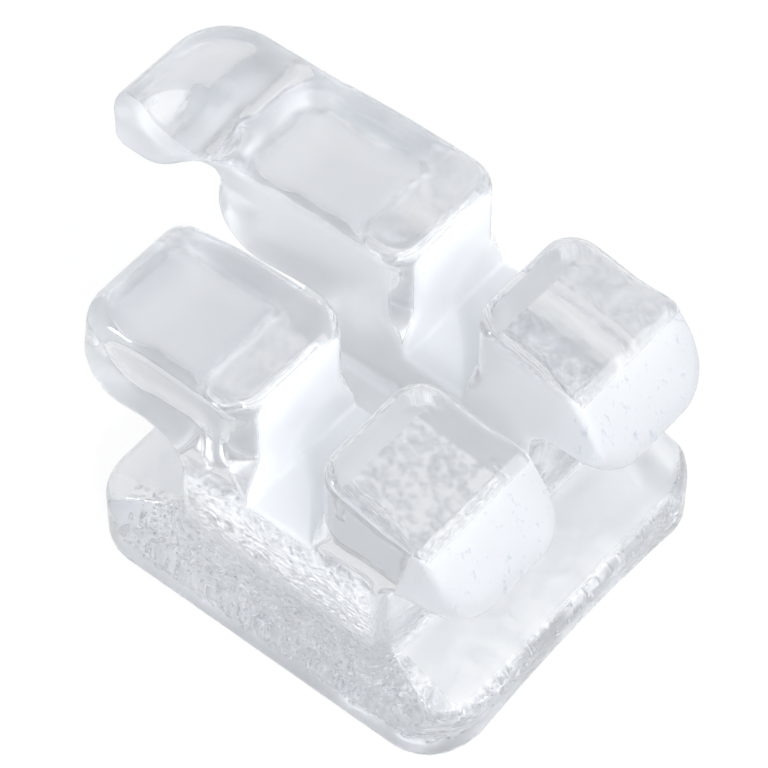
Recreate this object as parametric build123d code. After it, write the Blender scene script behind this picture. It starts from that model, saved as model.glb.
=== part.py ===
from build123d import *
import os
from math import sqrt

os.makedirs("parts", exist_ok=True)

# A one-piece twin bracket for bonding to a tooth: four tie wings, an archwire slot and an elastic hook.
# X runs along the archwire slot, +Y is the gum side, +Z points away from the tooth.
# The origin is on the plane where the rim of the bonding pad stands, under the middle of the slot.

# Archwire slot, 0.022 inch wide
slot_width = 0.559
slot_floor_height = 1.55

# Gap between the two pairs of wings
gap_width = 0.52
gap_floor_height = 1.10
gap_floor_round = 0.14

# Wings
wing_width = 1.21
wing_top_height = 2.58
wing_top_radius = 8.6
wing_top_ridge = 0.9
wing_corner_round = 0.24
wing_top_round = 0.13

# Wings on the side towards the biting edge
tie_reach = 2.02
tie_lean = 0.64
tie_lip_depth = 1.27
tie_nose_round = 0.37
tie_inner_round = 0.27
tie_outer_round = 0.34

# Wings on the gum side
gum_reach = 2.10
hook_wing_reach = 2.24
gum_lean = 0.16
gum_lip_depth = 1.18
gum_nose_round = 0.47
gum_inner_round = 0.19
gum_outer_round = 0.33

# Stems under the wings, and the ligature grooves between wings and pad
stem_tie_side = 0.95
stem_gum_side = 1.00
groove_ceiling_depth = 1.02
groove_floor_round = 0.25

# Bonding pad
pad_side_step = 0.16
pad_tie_side = 1.64
pad_gum_side = 1.87
pad_corner_round = 0.50
pad_edge_height = 0.45
pad_flare = 0.45
pad_edge_round = 0.12
pad_shoulder = 0.25
pad_hollow_depth = 0.17
pad_rim_width = 0.12

# Elastic hook on the gum side of one wing
hook_length = 0.83
hook_inner_side = 0.16
hook_root = 1.60
hook_top_drop = 0.03
hook_neck_depth = 0.34
hook_bulb_depth = 0.60
hook_bulb_setback = 0.35
hook_outer_round = 0.50
hook_inner_round = 0.18
hook_nose_round = 0.20
hook_belly_round = 0.25
hook_edge_round = 0.08
hook_scoop_radius = 0.52
hook_scoop_side = 0.33
hook_scoop_setback = 0.68
hook_scoop_rise = 0.26

overrun = 0.5

half_gap = gap_width / 2
wing_outside = half_gap + wing_width
half_pad = wing_outside + pad_side_step
pad_width = 2 * half_pad
pad_length = pad_tie_side + pad_gum_side
pad_middle = (pad_gum_side - pad_tie_side) / 2
hook_reach = hook_wing_reach + hook_length
hook_bulb_place = hook_reach - hook_bulb_setback
hook_scoop_place = hook_reach - hook_scoop_setback
ceiling = wing_top_height + overrun


def top_height(y):
    """Height of the wings' gently domed top at a place along the slot's cross direction."""
    return wing_top_height - wing_top_radius + sqrt(wing_top_radius**2 - (y - wing_top_ridge) ** 2)


def rounded(outline, *corners):
    """Rounds the corners of an outline, each given as a place and a radius."""
    for place, radius in corners:
        nearest = outline.vertices().sort_by_distance(Vector(*place))[0]
        outline = fillet(nearest, radius)
    return outline


def prism_along_x(outline, start, end):
    return extrude(Plane.YZ.offset(start) * outline, end - start)


def prism_along_y(outline, start, end):
    return extrude(Plane.XZ.offset(-end) * outline, end - start)


def foot():
    """The pad and the stems that rise from it, as the three views that bound them."""
    flare_height = pad_edge_height + pad_flare
    side = make_face(
        Polyline(
            (-pad_tie_side, 0),
            (pad_gum_side, 0),
            (pad_gum_side, pad_edge_height),
            (stem_gum_side, flare_height),
            (stem_gum_side, ceiling),
            (-stem_tie_side, ceiling),
            (-stem_tie_side, flare_height),
            (-pad_tie_side, pad_edge_height),
            close=True,
        )
    )
    side = rounded(
        side,
        ((pad_gum_side, pad_edge_height), pad_edge_round),
        ((-pad_tie_side, pad_edge_height), pad_edge_round),
        ((stem_gum_side, flare_height), groove_floor_round),
        ((-stem_tie_side, flare_height), groove_floor_round),
    )
    shoulder_height = pad_edge_height + pad_shoulder
    front = make_face(
        Polyline(
            (-half_pad, 0),
            (half_pad, 0),
            (half_pad, pad_edge_height),
            (wing_outside, shoulder_height),
            (wing_outside, ceiling),
            (-wing_outside, ceiling),
            (-wing_outside, shoulder_height),
            (-half_pad, pad_edge_height),
            close=True,
        )
    )
    front = rounded(
        front,
        ((half_pad, pad_edge_height), pad_edge_round),
        ((-half_pad, pad_edge_height), pad_edge_round),
        ((wing_outside, shoulder_height), groove_floor_round),
        ((-wing_outside, shoulder_height), groove_floor_round),
    )
    plan = Pos(0, pad_middle) * RectangleRounded(pad_width, pad_length, pad_corner_round)
    solid = prism_along_x(side, -half_pad, half_pad)
    solid &= prism_along_y(front, -pad_tie_side, pad_gum_side)
    solid &= extrude(plan, ceiling)
    hollow_reach = half_pad - pad_rim_width
    hollow_radius = (hollow_reach**2 + pad_hollow_depth**2) / (2 * pad_hollow_depth)
    hollow_axis = Pos(0, pad_middle, pad_hollow_depth - hollow_radius) * Rot(90, 0, 0)
    return solid - hollow_axis * Cylinder(hollow_radius, pad_length + overrun)


def wing(reach, lean, lip_depth, nose_round, flank_rounds, stem_side, side, end):
    """One tie wing without its top, on the side of the gap and the end given by two signs."""
    lip_height = wing_top_height - lip_depth
    rise = (lip_depth - groove_ceiling_depth) / (reach - stem_side)
    setback = lean * (ceiling - lip_height) / lip_depth
    outline = make_face(
        Polyline(
            (0, ceiling),
            (0, lip_height + rise * reach),
            (reach, lip_height),
            (reach - setback, ceiling),
            close=True,
        )
    )
    outline = rounded(outline, ((reach, lip_height), nose_round))
    body = prism_along_x(outline, half_gap, wing_outside)
    for flank, radius in zip((0, -1), flank_rounds):
        ends = body.faces().sort_by(Axis.Z)[-1].edges() + body.faces().sort_by(Axis.Y)[0].edges()
        body = fillet(body.faces().sort_by(Axis.X)[flank].edges() - ends, radius)
    if side < 0:
        body = mirror(body, Plane.YZ)
    if end < 0:
        body = mirror(body, Plane.XZ)
    return body


def elastic_hook():
    """The arm that carries the hook-side wing on towards the gum, ending in a drooping bulb."""
    plan = make_face(
        Polyline(
            (half_gap, hook_root),
            (wing_outside, hook_root),
            (wing_outside, hook_reach),
            (hook_inner_side, hook_reach),
            (hook_inner_side, hook_bulb_place),
            (half_gap, hook_wing_reach),
            close=True,
        )
    )
    plan = rounded(
        plan,
        ((wing_outside, hook_reach), hook_outer_round),
        ((hook_inner_side, hook_reach), hook_inner_round),
    )
    body = extrude(plan, ceiling)
    crown = top_height(hook_root)
    end_top = crown - hook_top_drop
    neck = wing_top_height - hook_neck_depth
    bulb = wing_top_height - hook_bulb_depth
    bulb_end = bulb + hook_nose_round
    side = make_face(
        Spline(
            (hook_root, neck),
            (hook_wing_reach, neck),
            (hook_bulb_place, bulb),
            (hook_reach, bulb_end),
        )
        + Polyline(
            (hook_reach, bulb_end),
            (hook_reach, end_top),
            (hook_root, crown),
            (hook_root, neck),
        )
    )
    body &= prism_along_x(side, 0, wing_outside)
    front = make_face(
        Polyline(
            (hook_inner_side, bulb),
            (wing_outside, bulb),
            (wing_outside, ceiling),
            (hook_inner_side, ceiling),
            close=True,
        )
    )
    front = rounded(
        front,
        ((hook_inner_side, bulb), hook_belly_round),
        ((wing_outside, bulb), hook_belly_round),
    )
    body &= prism_along_y(front, hook_root, hook_reach)
    top = body.faces().sort_by(Axis.Z)[-1]
    return fillet(top.edges(), hook_edge_round)


body = foot()
tie_rounds = (tie_inner_round, tie_outer_round)
for side in (-1, 1):
    body += wing(
        tie_reach, tie_lean, tie_lip_depth, tie_nose_round, tie_rounds, stem_tie_side, side, -1
    )
gum_rounds = (gum_inner_round, gum_outer_round)
for side, reach in ((-1, gum_reach), (1, hook_wing_reach)):
    body += wing(
        reach, gum_lean, gum_lip_depth, gum_nose_round, gum_rounds, stem_gum_side, side, 1
    )
dome_axis = Pos(0, wing_top_ridge, wing_top_height - wing_top_radius) * Rot(0, 90, 0)
body &= dome_axis * Cylinder(wing_top_radius, pad_width + overrun)

slot = Pos(0, 0, slot_floor_height) * Box(
    pad_width + overrun, slot_width, ceiling, align=(Align.CENTER, Align.CENTER, Align.MIN)
)
body -= slot

gap = make_face(
    Polyline(
        (-half_gap, gap_floor_height),
        (half_gap, gap_floor_height),
        (half_gap, ceiling),
        (-half_gap, ceiling),
        close=True,
    )
)
gap = rounded(
    gap,
    ((-half_gap, gap_floor_height), gap_floor_round),
    ((half_gap, gap_floor_height), gap_floor_round),
)
body -= prism_along_y(gap, -pad_length, pad_length)

# The slot and gap corners of the wings, then the rims of their tops
corners = body.edges().filter_by(Axis.Z).filter_by(
    lambda edge: edge.center().Z > slot_floor_height and abs(edge.center().Y) < stem_tie_side
)
body = fillet(corners, wing_corner_round)
tops = body.faces().filter_by(GeomType.CYLINDER).filter_by(
    lambda face: face.radius > wing_width and face.center().Z > slot_floor_height
)
body = fillet([edge for face in tops for edge in face.edges()], wing_top_round)
body += elastic_hook()
scoop_middle = Pos(hook_scoop_side, hook_scoop_place, wing_top_height + hook_scoop_rise)
body -= scoop_middle * Sphere(hook_scoop_radius)
export_step(body, "parts/bracket.step")
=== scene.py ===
from math import cos, pi, radians, sin

import bpy
import numpy as np
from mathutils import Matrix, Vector


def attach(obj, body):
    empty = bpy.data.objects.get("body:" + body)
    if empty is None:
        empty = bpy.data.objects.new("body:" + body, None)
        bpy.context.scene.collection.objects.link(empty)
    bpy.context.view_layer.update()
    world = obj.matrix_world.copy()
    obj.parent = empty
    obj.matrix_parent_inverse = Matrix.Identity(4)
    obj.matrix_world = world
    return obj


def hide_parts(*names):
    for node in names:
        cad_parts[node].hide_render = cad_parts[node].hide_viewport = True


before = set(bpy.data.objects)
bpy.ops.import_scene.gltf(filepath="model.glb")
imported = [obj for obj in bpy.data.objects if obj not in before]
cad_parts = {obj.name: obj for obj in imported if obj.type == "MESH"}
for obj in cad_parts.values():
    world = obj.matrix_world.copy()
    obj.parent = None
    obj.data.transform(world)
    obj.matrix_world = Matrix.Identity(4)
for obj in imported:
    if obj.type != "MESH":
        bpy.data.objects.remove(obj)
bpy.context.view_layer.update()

# The bracket body: one piece of clear single-crystal alumina, machined as pad, stems, wings, slot and hook,
# then heat-polished, so every edge is softly melted round. It stands on the rim of its hollow bonding pad.
# Sizes are in millimetres, with +X along the archwire slot, +Y towards the gum and +Z away from the tooth.
MM = 0.001
SLOT_HALF, SLOT_FLOOR = 0.28, 1.55
GAP_HALF, GAP_FLOOR = 0.26, 1.10
WING_OUTSIDE = 1.47
DOME_TOP, DOME_RADIUS, DOME_RIDGE = 2.58, 8.6, 0.9
TIE_REACH, TIE_LEAN, TIE_LIP, TIE_NOSE = 2.02, 0.64, 1.31, 0.37
TIP_FACET = ((1.27, 2.36), (1.68, 1.78))
GUM_REACH, HOOK_WING_REACH, GUM_LEAN, GUM_LIP, GUM_NOSE = 2.10, 2.24, 0.16, 1.40, 0.47
STEM_TIE, STEM_GUM, STEM_START, GROOVE_CEILING = 0.95, 1.00, 0.30, 1.56
PAD_HALF, PAD_TIE, PAD_GUM, PAD_CORNER = 1.63, 1.64, 1.87, 0.50
PAD_EDGE, PAD_FLARE, PAD_SHOULDER = 0.45, 0.45, 0.25
SWEEP_TIE, SWEEP_GUM, SWEEP_LIFT = 0.35, 0.40, 0.02
HOLLOW_DEPTH, RIM_WIDTH = 0.17, 0.12
HOOK_REACH, HOOK_INNER, HOOK_ROOT, HOOK_SETBACK, HOOK_TOP_DROP = 3.07, 0.16, 1.60, 0.02, 0.03
NECK_UNDERSIDE, BULB_UNDERSIDE, BULB_PLACE = 2.24, 1.98, 2.72
SCOOP_X, SCOOP_Y, SCOOP_Z, SCOOP_RADIUS = 0.33, 2.39, 2.84, 0.52
# Radii that the heat polish leaves on the edges
CEILING_ROUND, GAP_FLOOR_ROUND, SLOT_FLOOR_ROUND, SLOT_CORNER_ROUND = 0.12, 0.13, 0.05, 0.28
TOP_ROUND, TIE_TIP_ROUND, GUM_TIP_ROUND, FACET_ROUND = 0.14, 0.03, 0.24, 0.07
PAD_ROUND, RIM_ROUND, FOOT_ROUND = 0.14, 0.05, 0.16
HOOK_OUTER_ROUND, HOOK_INNER_ROUND, HOOK_BELLY_ROUND, HOOK_TOP_ROUND = 0.50, 0.17, 0.18, 0.14
HOOK_ROOT_ROUND, SCOOP_ROUND = 0.08, 0.05
# Side of the small cells that the surface is drawn with
CELL = 0.030


def cut(a, b, r):
    """What is inside both forms, with the edge between them rounded to radius r."""
    return np.minimum(-r, np.maximum(a, b)) + np.hypot(np.maximum(a + r, 0), np.maximum(b + r, 0))


def join(a, b, r):
    """What is inside either form, with the corner between them filled to radius r."""
    return np.maximum(r, np.minimum(a, b)) - np.hypot(np.maximum(r - a, 0), np.maximum(r - b, 0))


def ease(value, start, end):
    """Goes smoothly from 0 at start to 1 at end."""
    t = np.clip((value - start) / (end - start), 0, 1)
    return t * t * (3 - 2 * t)


def mix(a, b, t):
    """Goes from a to b as t goes from 0 to 1."""
    return a + (b - a) * t


def slope(u, v, start, end):
    """Distance above the straight line from start to end, in the plane of u and v."""
    du, dv = end[0] - start[0], end[1] - start[1]
    return ((v - start[1]) * du - (u - start[0]) * dv) / np.hypot(du, dv)


def dome_height(y):
    """Height of the one shallow dome that all four wings' tops share."""
    return DOME_TOP - DOME_RADIUS + np.sqrt(DOME_RADIUS**2 - (y - DOME_RIDGE) ** 2)


def rounded_plan(x, y, half_x, half_y, r):
    """Distance outside a rectangle with rounded corners."""
    qx, qy = np.abs(x) - half_x + r, np.abs(y) - half_y + r
    return np.hypot(np.maximum(qx, 0), np.maximum(qy, 0)) + np.minimum(np.maximum(qx, qy), 0) - r


def wing_side(out, z, reach, lean, lip, nose, stem):
    """A wing's side view: the underside slopes down to a rounded nose, and the tip leans back above it."""
    under = -slope(out, z, (stem, GROOVE_CEILING), (reach, lip))
    tip = -slope(out, z, (reach, lip), (reach - lean, DOME_TOP))
    inward = np.stack(np.broadcast_arrays(stem - reach, GROOVE_CEILING - lip))
    upward = np.stack(np.broadcast_arrays(-lean + 0 * reach, DOME_TOP - lip))
    inward, upward = inward / np.hypot(*inward), upward / np.hypot(*upward)
    middle = inward + upward
    half_angle = np.arccos(np.clip((inward * upward).sum(axis=0), -1, 1)) / 2
    middle = middle / np.hypot(*middle) * nose / np.sin(half_angle)
    du, dv = out - reach - middle[0], z - lip - middle[1]
    in_round = (du * inward[0] + dv * inward[1] < 0) & (du * upward[0] + dv * upward[1] < 0)
    return np.where(in_round, np.hypot(du, dv) - nose, np.maximum(under, tip))


def bracket_form(x, y, z):
    """Distance outside the bracket, roughly in millimetres and negative inside."""
    dome = z - dome_height(y)
    # Side view: stems and wings, with the ligature grooves' round ceilings
    tie = wing_side(-y, z, TIE_REACH, TIE_LEAN, TIE_LIP, TIE_NOSE, STEM_TIE)
    gum_reach = np.where(x < 0, GUM_REACH, HOOK_WING_REACH)
    gum = wing_side(y, z, gum_reach, GUM_LEAN, GUM_LIP, GUM_NOSE, STEM_GUM)
    stems = np.maximum(y - STEM_GUM, -y - STEM_TIE)
    wings = np.maximum(np.where(y < 0, tie, gum), STEM_START - z)
    side = join(wings, np.maximum(stems, STEM_START - z), CEILING_ROUND)
    # The wings' edges are rounder out towards their tips, and on the biting side most of all under the belly
    overhang = ease(np.abs(y), 0.80, 1.40)
    belly = ease(-z, -2.30, -1.70)

    def melted(at_stem, at_tie_top, at_tie_belly, at_gum_tip):
        return mix(at_stem, np.where(y < 0, mix(at_tie_top, at_tie_belly, belly), at_gum_tip), overhang)

    flank_round = melted(at_stem=0.10, at_tie_top=0.13, at_tie_belly=0.38, at_gum_tip=0.34)
    body = cut(side, np.abs(x) - WING_OUTSIDE, flank_round)
    gap_round = melted(at_stem=0.14, at_tie_top=0.13, at_tie_belly=0.30, at_gum_tip=0.20)
    gap = rounded_plan(x, z - GAP_FLOOR - 2, GAP_HALF, 2, GAP_FLOOR_ROUND)
    body = cut(body, -gap, gap_round)
    slot = np.maximum(np.abs(y) - SLOT_HALF, SLOT_FLOOR - z)
    off_the_floor = ease(z, SLOT_FLOOR + 0.02, SLOT_FLOOR + 0.4)
    body = cut(body, -slot, mix(SLOT_FLOOR_ROUND, SLOT_CORNER_ROUND, off_the_floor))
    # The tops' rims, crisp at the biting-side tips and soft at the end of the wing without the hook
    rim = mix(TOP_ROUND, TIE_TIP_ROUND, ease(-y, 0.9, 1.3))
    rim = rim + np.where(x < 0, GUM_TIP_ROUND - TOP_ROUND, 0) * ease(y, 1.2, 1.9)
    body = cut(body, dome, rim)
    body = cut(body, slope(-y, z, *TIP_FACET), FACET_ROUND)
    # The pad rises from its edge to the stems in a hollow sweep
    middle, half = (PAD_GUM - PAD_TIE) / 2, (PAD_GUM + PAD_TIE) / 2
    plan = rounded_plan(x, y - middle, PAD_HALF, half, PAD_CORNER)
    tie_sweep = ease(-y, PAD_TIE + SWEEP_TIE, STEM_TIE - SWEEP_TIE)
    gum_sweep = ease(y, PAD_GUM + SWEEP_GUM, STEM_GUM - SWEEP_GUM)
    rise = PAD_EDGE + PAD_FLARE * np.where(y < 0, tie_sweep, gum_sweep)
    shoulder = PAD_SHOULDER * (PAD_HALF - np.abs(x)) / (PAD_HALF - WING_OUTSIDE)
    rise = np.minimum(rise, PAD_EDGE + shoulder + SWEEP_LIFT)
    half_hollow = PAD_HALF - RIM_WIDTH
    radius = (half_hollow**2 + HOLLOW_DEPTH**2) / (2 * HOLLOW_DEPTH)
    hollow = radius - np.hypot(x, z - HOLLOW_DEPTH + radius)
    pad = cut(plan, z - rise, PAD_ROUND)
    pad = cut(pad, np.maximum(hollow, -z), RIM_ROUND)
    body = join(body, np.maximum(pad, -z), FOOT_ROUND)
    # The hook: an arm over the wing's end, with a round dish in its gap side, drooping into a bulb
    arm = cut(x - WING_OUTSIDE + HOOK_SETBACK, y - HOOK_REACH, HOOK_OUTER_ROUND)
    inner_side = mix(GAP_HALF, HOOK_INNER, ease(y, HOOK_WING_REACH - 0.15, SCOOP_Y + 0.2))
    arm = cut(arm, inner_side - x, HOOK_INNER_ROUND)
    arm = np.maximum(arm, HOOK_ROOT - y)
    droop = mix(NECK_UNDERSIDE, BULB_UNDERSIDE, ease(y, HOOK_WING_REACH - 0.05, BULB_PLACE))
    arm = cut(arm, droop - z, HOOK_BELLY_ROUND)
    crown = dome_height(HOOK_ROOT)
    arm_top = slope(y, z, (HOOK_ROOT, crown), (HOOK_REACH, crown - HOOK_TOP_DROP))
    arm = cut(arm, arm_top, HOOK_TOP_ROUND)
    body = join(body, arm, HOOK_ROOT_ROUND * ease(-z, -2.42, -2.28))
    scoop = SCOOP_RADIUS - np.sqrt((x - SCOOP_X) ** 2 + (y - SCOOP_Y) ** 2 + (z - SCOOP_Z) ** 2)
    return cut(body, scoop, SCOOP_ROUND)


def net(form, low, high, cell):
    """Closed quad mesh over the surface of a form: one corner for each cell that the surface crosses."""
    axes = [np.arange(a - 2 * cell, b + 3 * cell, cell) for a, b in zip(low, high)]
    grid = np.meshgrid(*axes, indexing="ij")
    d = form(*grid)
    inside = d < 0
    cells = tuple(n - 1 for n in d.shape)
    corners = [(i, j, k) for i in (0, 1) for j in (0, 1) for k in (0, 1)]
    # A cell's corner starts at the middle of the places where the surface crosses the cell's edges
    total, weight = np.zeros(cells + (3,)), np.zeros(cells)

    def part(array, corner):
        return array[tuple(slice(c, c + n) for c, n in zip(corner, cells))]

    for a in corners:
        for axis in range(3):
            if a[axis]:
                continue
            b = tuple(1 if i == axis else c for i, c in enumerate(a))
            da, db = part(d, a), part(d, b)
            crossed = part(inside, a) != part(inside, b)
            t = np.where(crossed, da / np.where(crossed, da - db, 1), 0)
            for i in range(3):
                total[..., i] += np.where(crossed, a[i] + (t if i == axis else 0), 0)
            weight += crossed
    used = weight > 0
    number = np.full(cells, -1)
    number[used] = np.arange(used.sum())
    place = np.argwhere(used) + total[used] / weight[used][:, None]
    points = np.array([a[0] for a in axes]) + place * cell
    # It is then drawn onto the surface along the form's own slope
    step = cell / 8
    for _ in range(3):
        here = form(*points.T)
        rise = np.stack(
            [
                (form(*(points + step * axis).T) - form(*(points - step * axis).T)) / (2 * step)
                for axis in np.eye(3)
            ],
            axis=1,
        )
        move = -here[:, None] * rise / np.maximum((rise**2).sum(axis=1), 0.2)[:, None]
        points += np.clip(move, -cell / 2, cell / 2)
    # Four cells share each grid edge that the surface crosses, and their corners make one quad
    quads = []
    for axis in range(3):
        u, v = (axis + 1) % 3, (axis + 2) % 3
        first = [slice(1, -1)] * 3
        first[axis] = slice(0, -1)
        second = list(first)
        second[axis] = slice(1, None)
        a, b = inside[tuple(first)], inside[tuple(second)]
        where = np.argwhere(a != b)
        leaving = a[a != b]
        where[:, u] += 1
        where[:, v] += 1
        ring = []
        for du, dv in ((1, 1), (0, 1), (0, 0), (1, 0)):
            at = where.copy()
            at[:, u] -= du
            at[:, v] -= dv
            ring.append(number[tuple(at.T)])
        ring = np.stack(ring, axis=1)
        quads.append(np.where(leaving[:, None], ring, ring[:, ::-1]))
    return points, np.concatenate(quads)


def mesh_object(name, points, faces):
    """A smooth-shaded piece at the origin, from points in millimetres."""
    mesh = bpy.data.meshes.new(name)
    mesh.from_pydata((points * MM).tolist(), [], faces.tolist())
    mesh.validate()
    mesh.shade_smooth()
    piece = bpy.data.objects.new(name, mesh)
    bpy.context.scene.collection.objects.link(piece)
    return piece


low = (-PAD_HALF, -TIE_REACH, 0)
high = (PAD_HALF, HOOK_REACH, DOME_TOP)
body = mesh_object("bracket_body", *net(bracket_form, low, high, CELL))


def linear(hexcode):
    """A written sRGB colour as the linear values that the shader wants."""
    channels = [int(hexcode[i : i + 2], 16) / 255 for i in (1, 3, 5)]
    return tuple(c / 12.92 if c <= 0.04045 else ((c + 0.055) / 1.055) ** 2.4 for c in channels) + (1.0,)


def add_node(tree, kind, settings=None, **inputs):
    """Adds a node. An input is named, or numbered as _0, and gets a value, a node or a (node, output) pair."""
    node = tree.nodes.new(kind)
    for key, value in (settings or {}).items():
        setattr(node, key, value)
    for key, value in inputs.items():
        socket = node.inputs[int(key[1:]) if key[0] == "_" else key.replace("_", " ")]
        if isinstance(value, bpy.types.Node):
            tree.links.new(value.outputs[0], socket)
        elif isinstance(value, tuple) and isinstance(value[0], bpy.types.Node):
            tree.links.new(value[0].outputs[value[1]], socket)
        else:
            socket.default_value = value
    return node


def new_material(name):
    material = bpy.data.materials.new(name)
    material.use_nodes = True
    material.node_tree.nodes.clear()
    return material, material.node_tree


# Its material, single-crystal alumina (sapphire), heat-polished: water-clear, with a softly rippled, glassy
# skin and high refraction. The slot, the gap and the wing tips are diamond-ground, so they stay frosted and
# catch the light white, and the hollow under the pad is left as pitted as it was fired.
SAPPHIRE_IOR = 1.76
POLISHED_ROUGHNESS, POLISHED_CLARITY = 0.06, 0.94
BODY_TINT, MARK_TINT = "#F8FAFD", "#D3DAE4"
RIPPLE, GRINDING, PITTING = 0.60 * MM, 0.070 * MM, 0.090 * MM
SKIN_RELIEF = 0.05 * MM
sapphire, tree = new_material("heat-polished clear sapphire")
place = add_node(tree, "ShaderNodeTexCoord")
place_mm = add_node(
    tree, "ShaderNodeVectorMath", {"operation": "SCALE"}, Vector=(place, "Object"), Scale=1 / MM
)
where = add_node(tree, "ShaderNodeSeparateXYZ", Vector=place_mm)
facing = add_node(tree, "ShaderNodeNewGeometry")
facing = add_node(tree, "ShaderNodeSeparateXYZ", Vector=(facing, "True Normal"))
along_slot, gumward, height = (where, "X"), (where, "Y"), (where, "Z")
from_gap = add_node(tree, "ShaderNodeMath", {"operation": "ABSOLUTE"}, _0=along_slot)
from_slot = add_node(tree, "ShaderNodeMath", {"operation": "ABSOLUTE"}, _0=gumward)
level = add_node(tree, "ShaderNodeMath", {"operation": "ABSOLUTE"}, _0=(facing, "Z"))
biteward = add_node(tree, "ShaderNodeMath", {"operation": "MULTIPLY"}, _0=gumward, _1=-1.0)
# The ground face of a tip leans, so it starts further out where it is higher
outward = add_node(
    tree, "ShaderNodeMath", {"operation": "MULTIPLY_ADD"}, _0=height, _1=-0.25, _2=biteward
)
from_middle = add_node(
    tree, "ShaderNodeMath", {"operation": "SUBTRACT"}, _0=gumward, _1=(PAD_GUM - PAD_TIE) / 2
)
from_middle = add_node(tree, "ShaderNodeMath", {"operation": "ABSOLUTE"}, _0=from_middle)
# Where each kind of surface lies: a product of fades, over a place in millimetres or how level the face is
fades = {
    "gap": ((from_gap, GAP_HALF + 0.05, GAP_HALF + 0.01), (height, GAP_FLOOR - 0.06, GAP_FLOOR - 0.01)),
    "slot": ((from_slot, SLOT_HALF + 0.05, SLOT_HALF + 0.01), (height, SLOT_FLOOR - 0.06, SLOT_FLOOR - 0.01)),
    "tip": ((outward, 0.61, 0.66), (height, 1.1, 1.3)),
    "steep": ((level, 0.85, 0.75),),
    "below the tops": ((height, 2.15, 2.05),),
    "under the wings": ((level, 0.4, 0.7), (height, 1.80, 1.65), (height, 1.1, 1.2)),
    "under the hook": ((gumward, 2.1, 2.3), (height, 2.30, 2.24)),
    "ledge": ((level, 0.5, 0.8), (height, 1.1, 1.0), (height, 0.30, 0.40), (along_slot, -1.45, -1.30)),
    "hollow": ((level, 0.5, 0.7), (height, 0.22, 0.20)),
    "inside the rim": ((from_gap, 1.40, 1.20), (from_middle, 1.50, 1.30)),
    "tops": ((level, 0.80, 0.95), (height, 2.10, 2.20)),
    "gum half": ((gumward, -0.1, 0.1),),
}
region = {}
for name, steps in fades.items():
    for over, start, end in steps:
        fade = add_node(
            tree,
            "ShaderNodeMapRange",
            {"interpolation_type": "SMOOTHSTEP"},
            Value=over,
            From_Min=start,
            From_Max=end,
        )
        if name in region:
            fade = add_node(tree, "ShaderNodeMath", {"operation": "MULTIPLY"}, _0=region[name], _1=fade)
        region[name] = fade
for name, operation, first, second in (
    ("off the tops", "MAXIMUM", "steep", "below the tops"),
    ("tip", "MULTIPLY", "tip", "off the tops"),
    ("under", "MAXIMUM", "under the wings", "under the hook"),
    ("gap or slot", "MAXIMUM", "gap", "slot"),
    ("ground", "MAXIMUM", "gap or slot", "tip"),
    ("crossing", "MULTIPLY", "gap", "slot"),
    ("gap alone", "SUBTRACT", "gap", "crossing"),
    ("gum tops", "MULTIPLY", "tops", "gum half"),
    ("pitted", "MULTIPLY", "hollow", "inside the rim"),
):
    region[name] = add_node(
        tree, "ShaderNodeMath", {"operation": operation}, _0=region[first], _1=region[second]
    )
rough = POLISHED_ROUGHNESS
for name, more in (
    ("ground", 0.34),
    ("ledge", 0.26),
    ("under", 0.30),
    ("tops", 0.05),
    ("gum tops", 0.07),
    ("hollow", 0.08),
):
    rough = add_node(
        tree, "ShaderNodeMath", {"operation": "MULTIPLY_ADD"}, _0=region[name], _1=more, _2=rough
    )
clear = POLISHED_CLARITY
for name, less in (("slot", 0.46), ("gap alone", 0.20), ("tip", 0.16), ("ledge", 0.03), ("under", 0.10)):
    clear = add_node(
        tree, "ShaderNodeMath", {"operation": "MULTIPLY_ADD"}, _0=region[name], _1=-less, _2=clear
    )
ripple = add_node(tree, "ShaderNodeTexNoise", Vector=(place, "Object"), Scale=1 / RIPPLE, Detail=1.0)
skin = add_node(tree, "ShaderNodeBump", Height=ripple, Strength=0.35, Distance=SKIN_RELIEF)
pits = add_node(tree, "ShaderNodeTexNoise", Vector=(place, "Object"), Scale=1 / PITTING, Detail=2.0)
pits = add_node(tree, "ShaderNodeMath", {"operation": "MULTIPLY"}, _0=pits, _1=region["pitted"])
skin = add_node(tree, "ShaderNodeBump", Height=pits, Normal=skin, Strength=0.7, Distance=SKIN_RELIEF)
# Short grinding marks down the tips, four times as long as they are wide, drawn coarser than real ones to show
marks = add_node(tree, "ShaderNodeMapping", Vector=(place, "Object"), Scale=(1.0, 1.0, 0.25))
marks = add_node(
    tree, "ShaderNodeTexNoise", Vector=marks, Scale=1 / GRINDING, Detail=3.0, Roughness=0.7
)
marks = add_node(
    tree,
    "ShaderNodeMapRange",
    {"interpolation_type": "SMOOTHSTEP"},
    Value=marks,
    From_Min=0.56,
    From_Max=0.72,
)
marks = add_node(tree, "ShaderNodeMath", {"operation": "MULTIPLY"}, _0=marks, _1=region["tip"])
colour = add_node(
    tree, "ShaderNodeMixRGB", Fac=marks, Color1=linear(BODY_TINT), Color2=linear(MARK_TINT)
)
glass = add_node(
    tree,
    "ShaderNodeBsdfPrincipled",
    Base_Color=colour,
    Roughness=rough,
    IOR=SAPPHIRE_IOR,
    Transmission_Weight=clear,
    Normal=skin,
)
add_node(tree, "ShaderNodeOutputMaterial", Surface=glass)
body.data.materials.append(sapphire)
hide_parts("bracket")
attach(body, "root")

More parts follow.
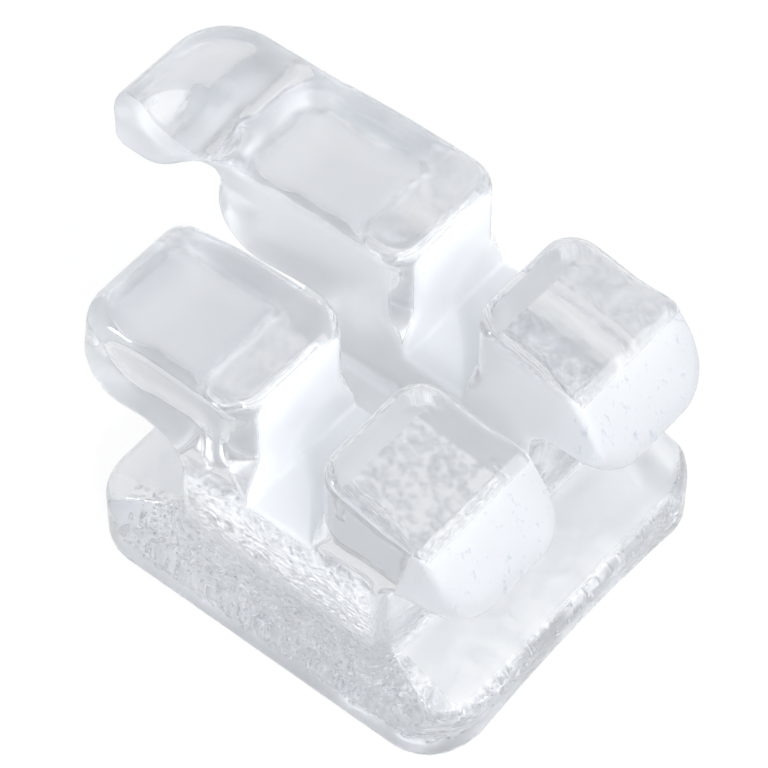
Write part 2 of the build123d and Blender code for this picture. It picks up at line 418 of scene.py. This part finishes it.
# Bonding grit: coarse alumina grains fused into the hollow under the pad, where they key into the cement.
# They lie one deep against the hollow's roof and show through the clear body as a sparkling, grainy floor.
GRAIN_SIZE, GRAIN_SPACING = 0.085, 0.055
GRAIN_SEED = 5
BED_EDGE, GRAIN_SINK = 0.30, 0.02
BED_STRIPS = 24
half_bed = PAD_HALF - BED_EDGE
roof_radius = ((PAD_HALF - RIM_WIDTH) ** 2 + HOLLOW_DEPTH**2) / (2 * HOLLOW_DEPTH)
bed_x = np.linspace(-half_bed, half_bed, BED_STRIPS + 1)
bed_z = HOLLOW_DEPTH - roof_radius + np.sqrt(roof_radius**2 - bed_x**2) - GRAIN_SINK
# The outermost grains stay above the plane of the rim
bed_z = np.maximum(bed_z, GRAIN_SIZE * 0.62)
bed_ends = (BED_EDGE - PAD_TIE, PAD_GUM - BED_EDGE)
bed_points = np.array([(x, y, z) for y in bed_ends for x, z in zip(bed_x, bed_z)])
far_end = BED_STRIPS + 1
bed_faces = np.array([(i, i + 1, i + 1 + far_end, i + far_end) for i in range(BED_STRIPS)])
grit = mesh_object("bonding_grit", bed_points, bed_faces)

# Its material, fused alumina: crushed, so it glints, and a little cloudy from grain to grain
CLOUD = 0.25 * MM
grit_alumina, tree = new_material("fused alumina grit")
place = add_node(tree, "ShaderNodeTexCoord")
cloud = add_node(tree, "ShaderNodeTexNoise", Vector=(place, "Object"), Scale=1 / CLOUD, Detail=2.0)
tint = add_node(
    tree, "ShaderNodeMixRGB", Fac=cloud, Color1=linear("#EEF1F5"), Color2=linear("#FFFFFF")
)
grain_skin = add_node(
    tree,
    "ShaderNodeBsdfPrincipled",
    Base_Color=tint,
    Roughness=0.12,
    IOR=SAPPHIRE_IOR,
    Transmission_Weight=0.97,
)
add_node(tree, "ShaderNodeOutputMaterial", Surface=grain_skin)

# The grains are scattered no nearer than their spacing, each turned and stretched its own way
scatter = bpy.data.node_groups.new("scattered grains", "GeometryNodeTree")
scatter.interface.new_socket("Geometry", in_out="INPUT", socket_type="NodeSocketGeometry")
size_input = scatter.interface.new_socket("Grain size", in_out="INPUT", socket_type="NodeSocketFloat")
spacing_input = scatter.interface.new_socket("Spacing", in_out="INPUT", socket_type="NodeSocketFloat")
seed_input = scatter.interface.new_socket("Seed", in_out="INPUT", socket_type="NodeSocketInt")
scatter.interface.new_socket("Geometry", in_out="OUTPUT", socket_type="NodeSocketGeometry")
given = add_node(scatter, "NodeGroupInput")
per_area = add_node(scatter, "ShaderNodeMath", {"operation": "POWER"}, _0=(given, "Spacing"), _1=-2.0)
spots = add_node(
    scatter,
    "GeometryNodeDistributePointsOnFaces",
    {"distribute_method": "POISSON"},
    Mesh=(given, "Geometry"),
    Distance_Min=(given, "Spacing"),
    Density_Max=per_area,
    Seed=(given, "Seed"),
)
half_size = add_node(
    scatter, "ShaderNodeMath", {"operation": "MULTIPLY"}, _0=(given, "Grain size"), _1=0.5
)
grain = add_node(scatter, "GeometryNodeMeshIcoSphere", Radius=half_size, Subdivisions=1)
turn = add_node(
    scatter,
    "FunctionNodeRandomValue",
    {"data_type": "FLOAT_VECTOR"},
    _0=(0.0, 0.0, 0.0),
    _1=(2 * pi, 2 * pi, 2 * pi),
    Seed=(given, "Seed"),
)
# From half as big to a little bigger, and flatter than they are wide
grow = add_node(
    scatter,
    "FunctionNodeRandomValue",
    {"data_type": "FLOAT_VECTOR"},
    _0=(0.55, 0.55, 0.5),
    _1=(1.15, 1.15, 0.9),
    Seed=(given, "Seed"),
)
spread = add_node(
    scatter,
    "GeometryNodeInstanceOnPoints",
    Points=spots,
    Instance=grain,
    Rotation=turn,
    Scale=grow,
)
solid = add_node(scatter, "GeometryNodeRealizeInstances", Geometry=spread)
finish = add_node(scatter, "GeometryNodeSetMaterial", Geometry=solid, Material=grit_alumina)
add_node(scatter, "NodeGroupOutput", _0=finish)
modifier = grit.modifiers.new("scattered grains", "NODES")
modifier.node_group = scatter
modifier[size_input.identifier] = GRAIN_SIZE * MM
modifier[spacing_input.identifier] = GRAIN_SPACING * MM
modifier[seed_input.identifier] = GRAIN_SEED
evaluated = grit.evaluated_get(bpy.context.evaluated_depsgraph_get())
settled = bpy.data.meshes.new_from_object(evaluated)
grit.modifiers.clear()
grit.data = settled
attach(grit, "root")

# Studio: the bracket stands on white paper in a soft white room, with a tall lamp on its biting side, a strip
# on its gum side and a small bright lamp over its free end. The paper is white to the camera, dimmer where it
# is seen through the bracket, and keeps a trace of its shadow. None of this belongs to the part.
FLOOR_SIZE, FLOOR_WHITE = 120.0, "#FFFFFF"
SEEN_THROUGH, SELF_LIT = 0.80, 0.9
floor_mesh = bpy.data.meshes.new("floor")
half = FLOOR_SIZE * MM / 2
corners = [(-half, -half, 0), (half, -half, 0), (half, half, 0), (-half, half, 0)]
floor_mesh.from_pydata(corners, [], [(0, 1, 2, 3)])
floor = bpy.data.objects.new("floor", floor_mesh)
bpy.context.scene.collection.objects.link(floor)
paper, tree = new_material("white paper sweep")
paint = add_node(tree, "ShaderNodeBsdfPrincipled", Base_Color=linear(FLOOR_WHITE), Roughness=0.9)
seen = add_node(tree, "ShaderNodeLightPath")
strength = add_node(
    tree,
    "ShaderNodeMath",
    {"operation": "MULTIPLY_ADD"},
    _0=(seen, "Is Camera Ray"),
    _1=1.0 - SEEN_THROUGH,
    _2=SEEN_THROUGH,
)
bright = add_node(tree, "ShaderNodeEmission", Color=linear(FLOOR_WHITE), Strength=strength)
in_glass = add_node(
    tree,
    "ShaderNodeMath",
    {"operation": "MAXIMUM"},
    _0=(seen, "Is Glossy Ray"),
    _1=(seen, "Is Transmission Ray"),
)
in_view = add_node(
    tree, "ShaderNodeMath", {"operation": "MULTIPLY"}, _0=(seen, "Is Camera Ray"), _1=SELF_LIT
)
lit = add_node(tree, "ShaderNodeMath", {"operation": "MAXIMUM"}, _0=in_glass, _1=in_view)
show = add_node(tree, "ShaderNodeMixShader", _0=lit, _1=paint, _2=bright)
add_node(tree, "ShaderNodeOutputMaterial", Surface=show)
floor_mesh.materials.append(paper)

# The room is darker overhead and behind the bracket's gum side, which gives the clear edges their grey
world = bpy.data.worlds.new("soft white room")
bpy.context.scene.world = world
world.use_nodes = True
world.node_tree.nodes.clear()
tree = world.node_tree
direction = add_node(tree, "ShaderNodeTexCoord")
upward = add_node(tree, "ShaderNodeSeparateXYZ", Vector=(direction, "Generated"))
toward = add_node(
    tree,
    "ShaderNodeVectorMath",
    {"operation": "DOT_PRODUCT"},
    _0=(direction, "Generated"),
    _1=(0.8, -0.6, 0.0),
)
light = 0.0
for over, start, end in (((toward, "Value"), -1.0, 1.0), ((upward, "Z"), 0.9, 0.1)):
    fade = add_node(
        tree,
        "ShaderNodeMapRange",
        {"interpolation_type": "SMOOTHSTEP"},
        Value=over,
        From_Min=start,
        From_Max=end,
    )
    light = add_node(tree, "ShaderNodeMath", {"operation": "MULTIPLY_ADD"}, _0=fade, _1=0.5, _2=light)
shade = add_node(
    tree, "ShaderNodeMixRGB", Fac=light, Color1=linear("#8D9299"), Color2=linear("#FDFEFF")
)
sky = add_node(tree, "ShaderNodeBackground", Color=shade, Strength=1.52)
add_node(tree, "ShaderNodeOutputWorld", Surface=sky)


def soft_lamp(name, place, size, power):
    """A square lamp at a place in millimetres, turned to the bracket."""
    light = bpy.data.lights.new(name, "AREA")
    light.size = size * MM
    light.energy = power
    lamp = bpy.data.objects.new(name, light)
    lamp.location = Vector(place) * MM
    lamp.rotation_euler = (-lamp.location).to_track_quat("-Z", "Y").to_euler()
    bpy.context.scene.collection.objects.link(lamp)


soft_lamp("tall lamp on the biting side", (2, -32, 28), 50, 0.0155)
soft_lamp("strip lamp on the gum side", (-30, 28, 14), 5, 0.0015)
soft_lamp("small bright lamp over the free end", (-25, -30, 30), 4, 0.008)

# Camera: the photograph's angle, from above the bracket's free end and biting side.
CAMERA_AZIMUTH, CAMERA_ELEVATION, CAMERA_DISTANCE = -50.476, 52.642, 30.0
CAMERA_TARGET = (0.227, 0.430, 1.15)
FRAME_WIDTH_AT_TARGET = 5.713
azimuth, elevation = radians(CAMERA_AZIMUTH), radians(CAMERA_ELEVATION)
back = Vector((sin(azimuth) * cos(elevation), -cos(azimuth) * cos(elevation), sin(elevation)))
camera_data = bpy.data.cameras.new("camera")
camera_data.sensor_width = 36.0
camera_data.lens = 36.0 * CAMERA_DISTANCE / FRAME_WIDTH_AT_TARGET
camera_data.clip_start = MM
camera_data.clip_end = 1.0
camera = bpy.data.objects.new("camera", camera_data)
camera.location = (Vector(CAMERA_TARGET) + CAMERA_DISTANCE * back) * MM
camera.rotation_euler = back.to_track_quat("Z", "Y").to_euler()
bpy.context.scene.collection.objects.link(camera)
bpy.context.scene.camera = camera
bpy.context.scene.view_settings.view_transform = "Standard"
bpy.context.scene.cycles.max_bounces = 32
bpy.context.scene.cycles.transmission_bounces = 32
bpy.context.scene.cycles.glossy_bounces = 24
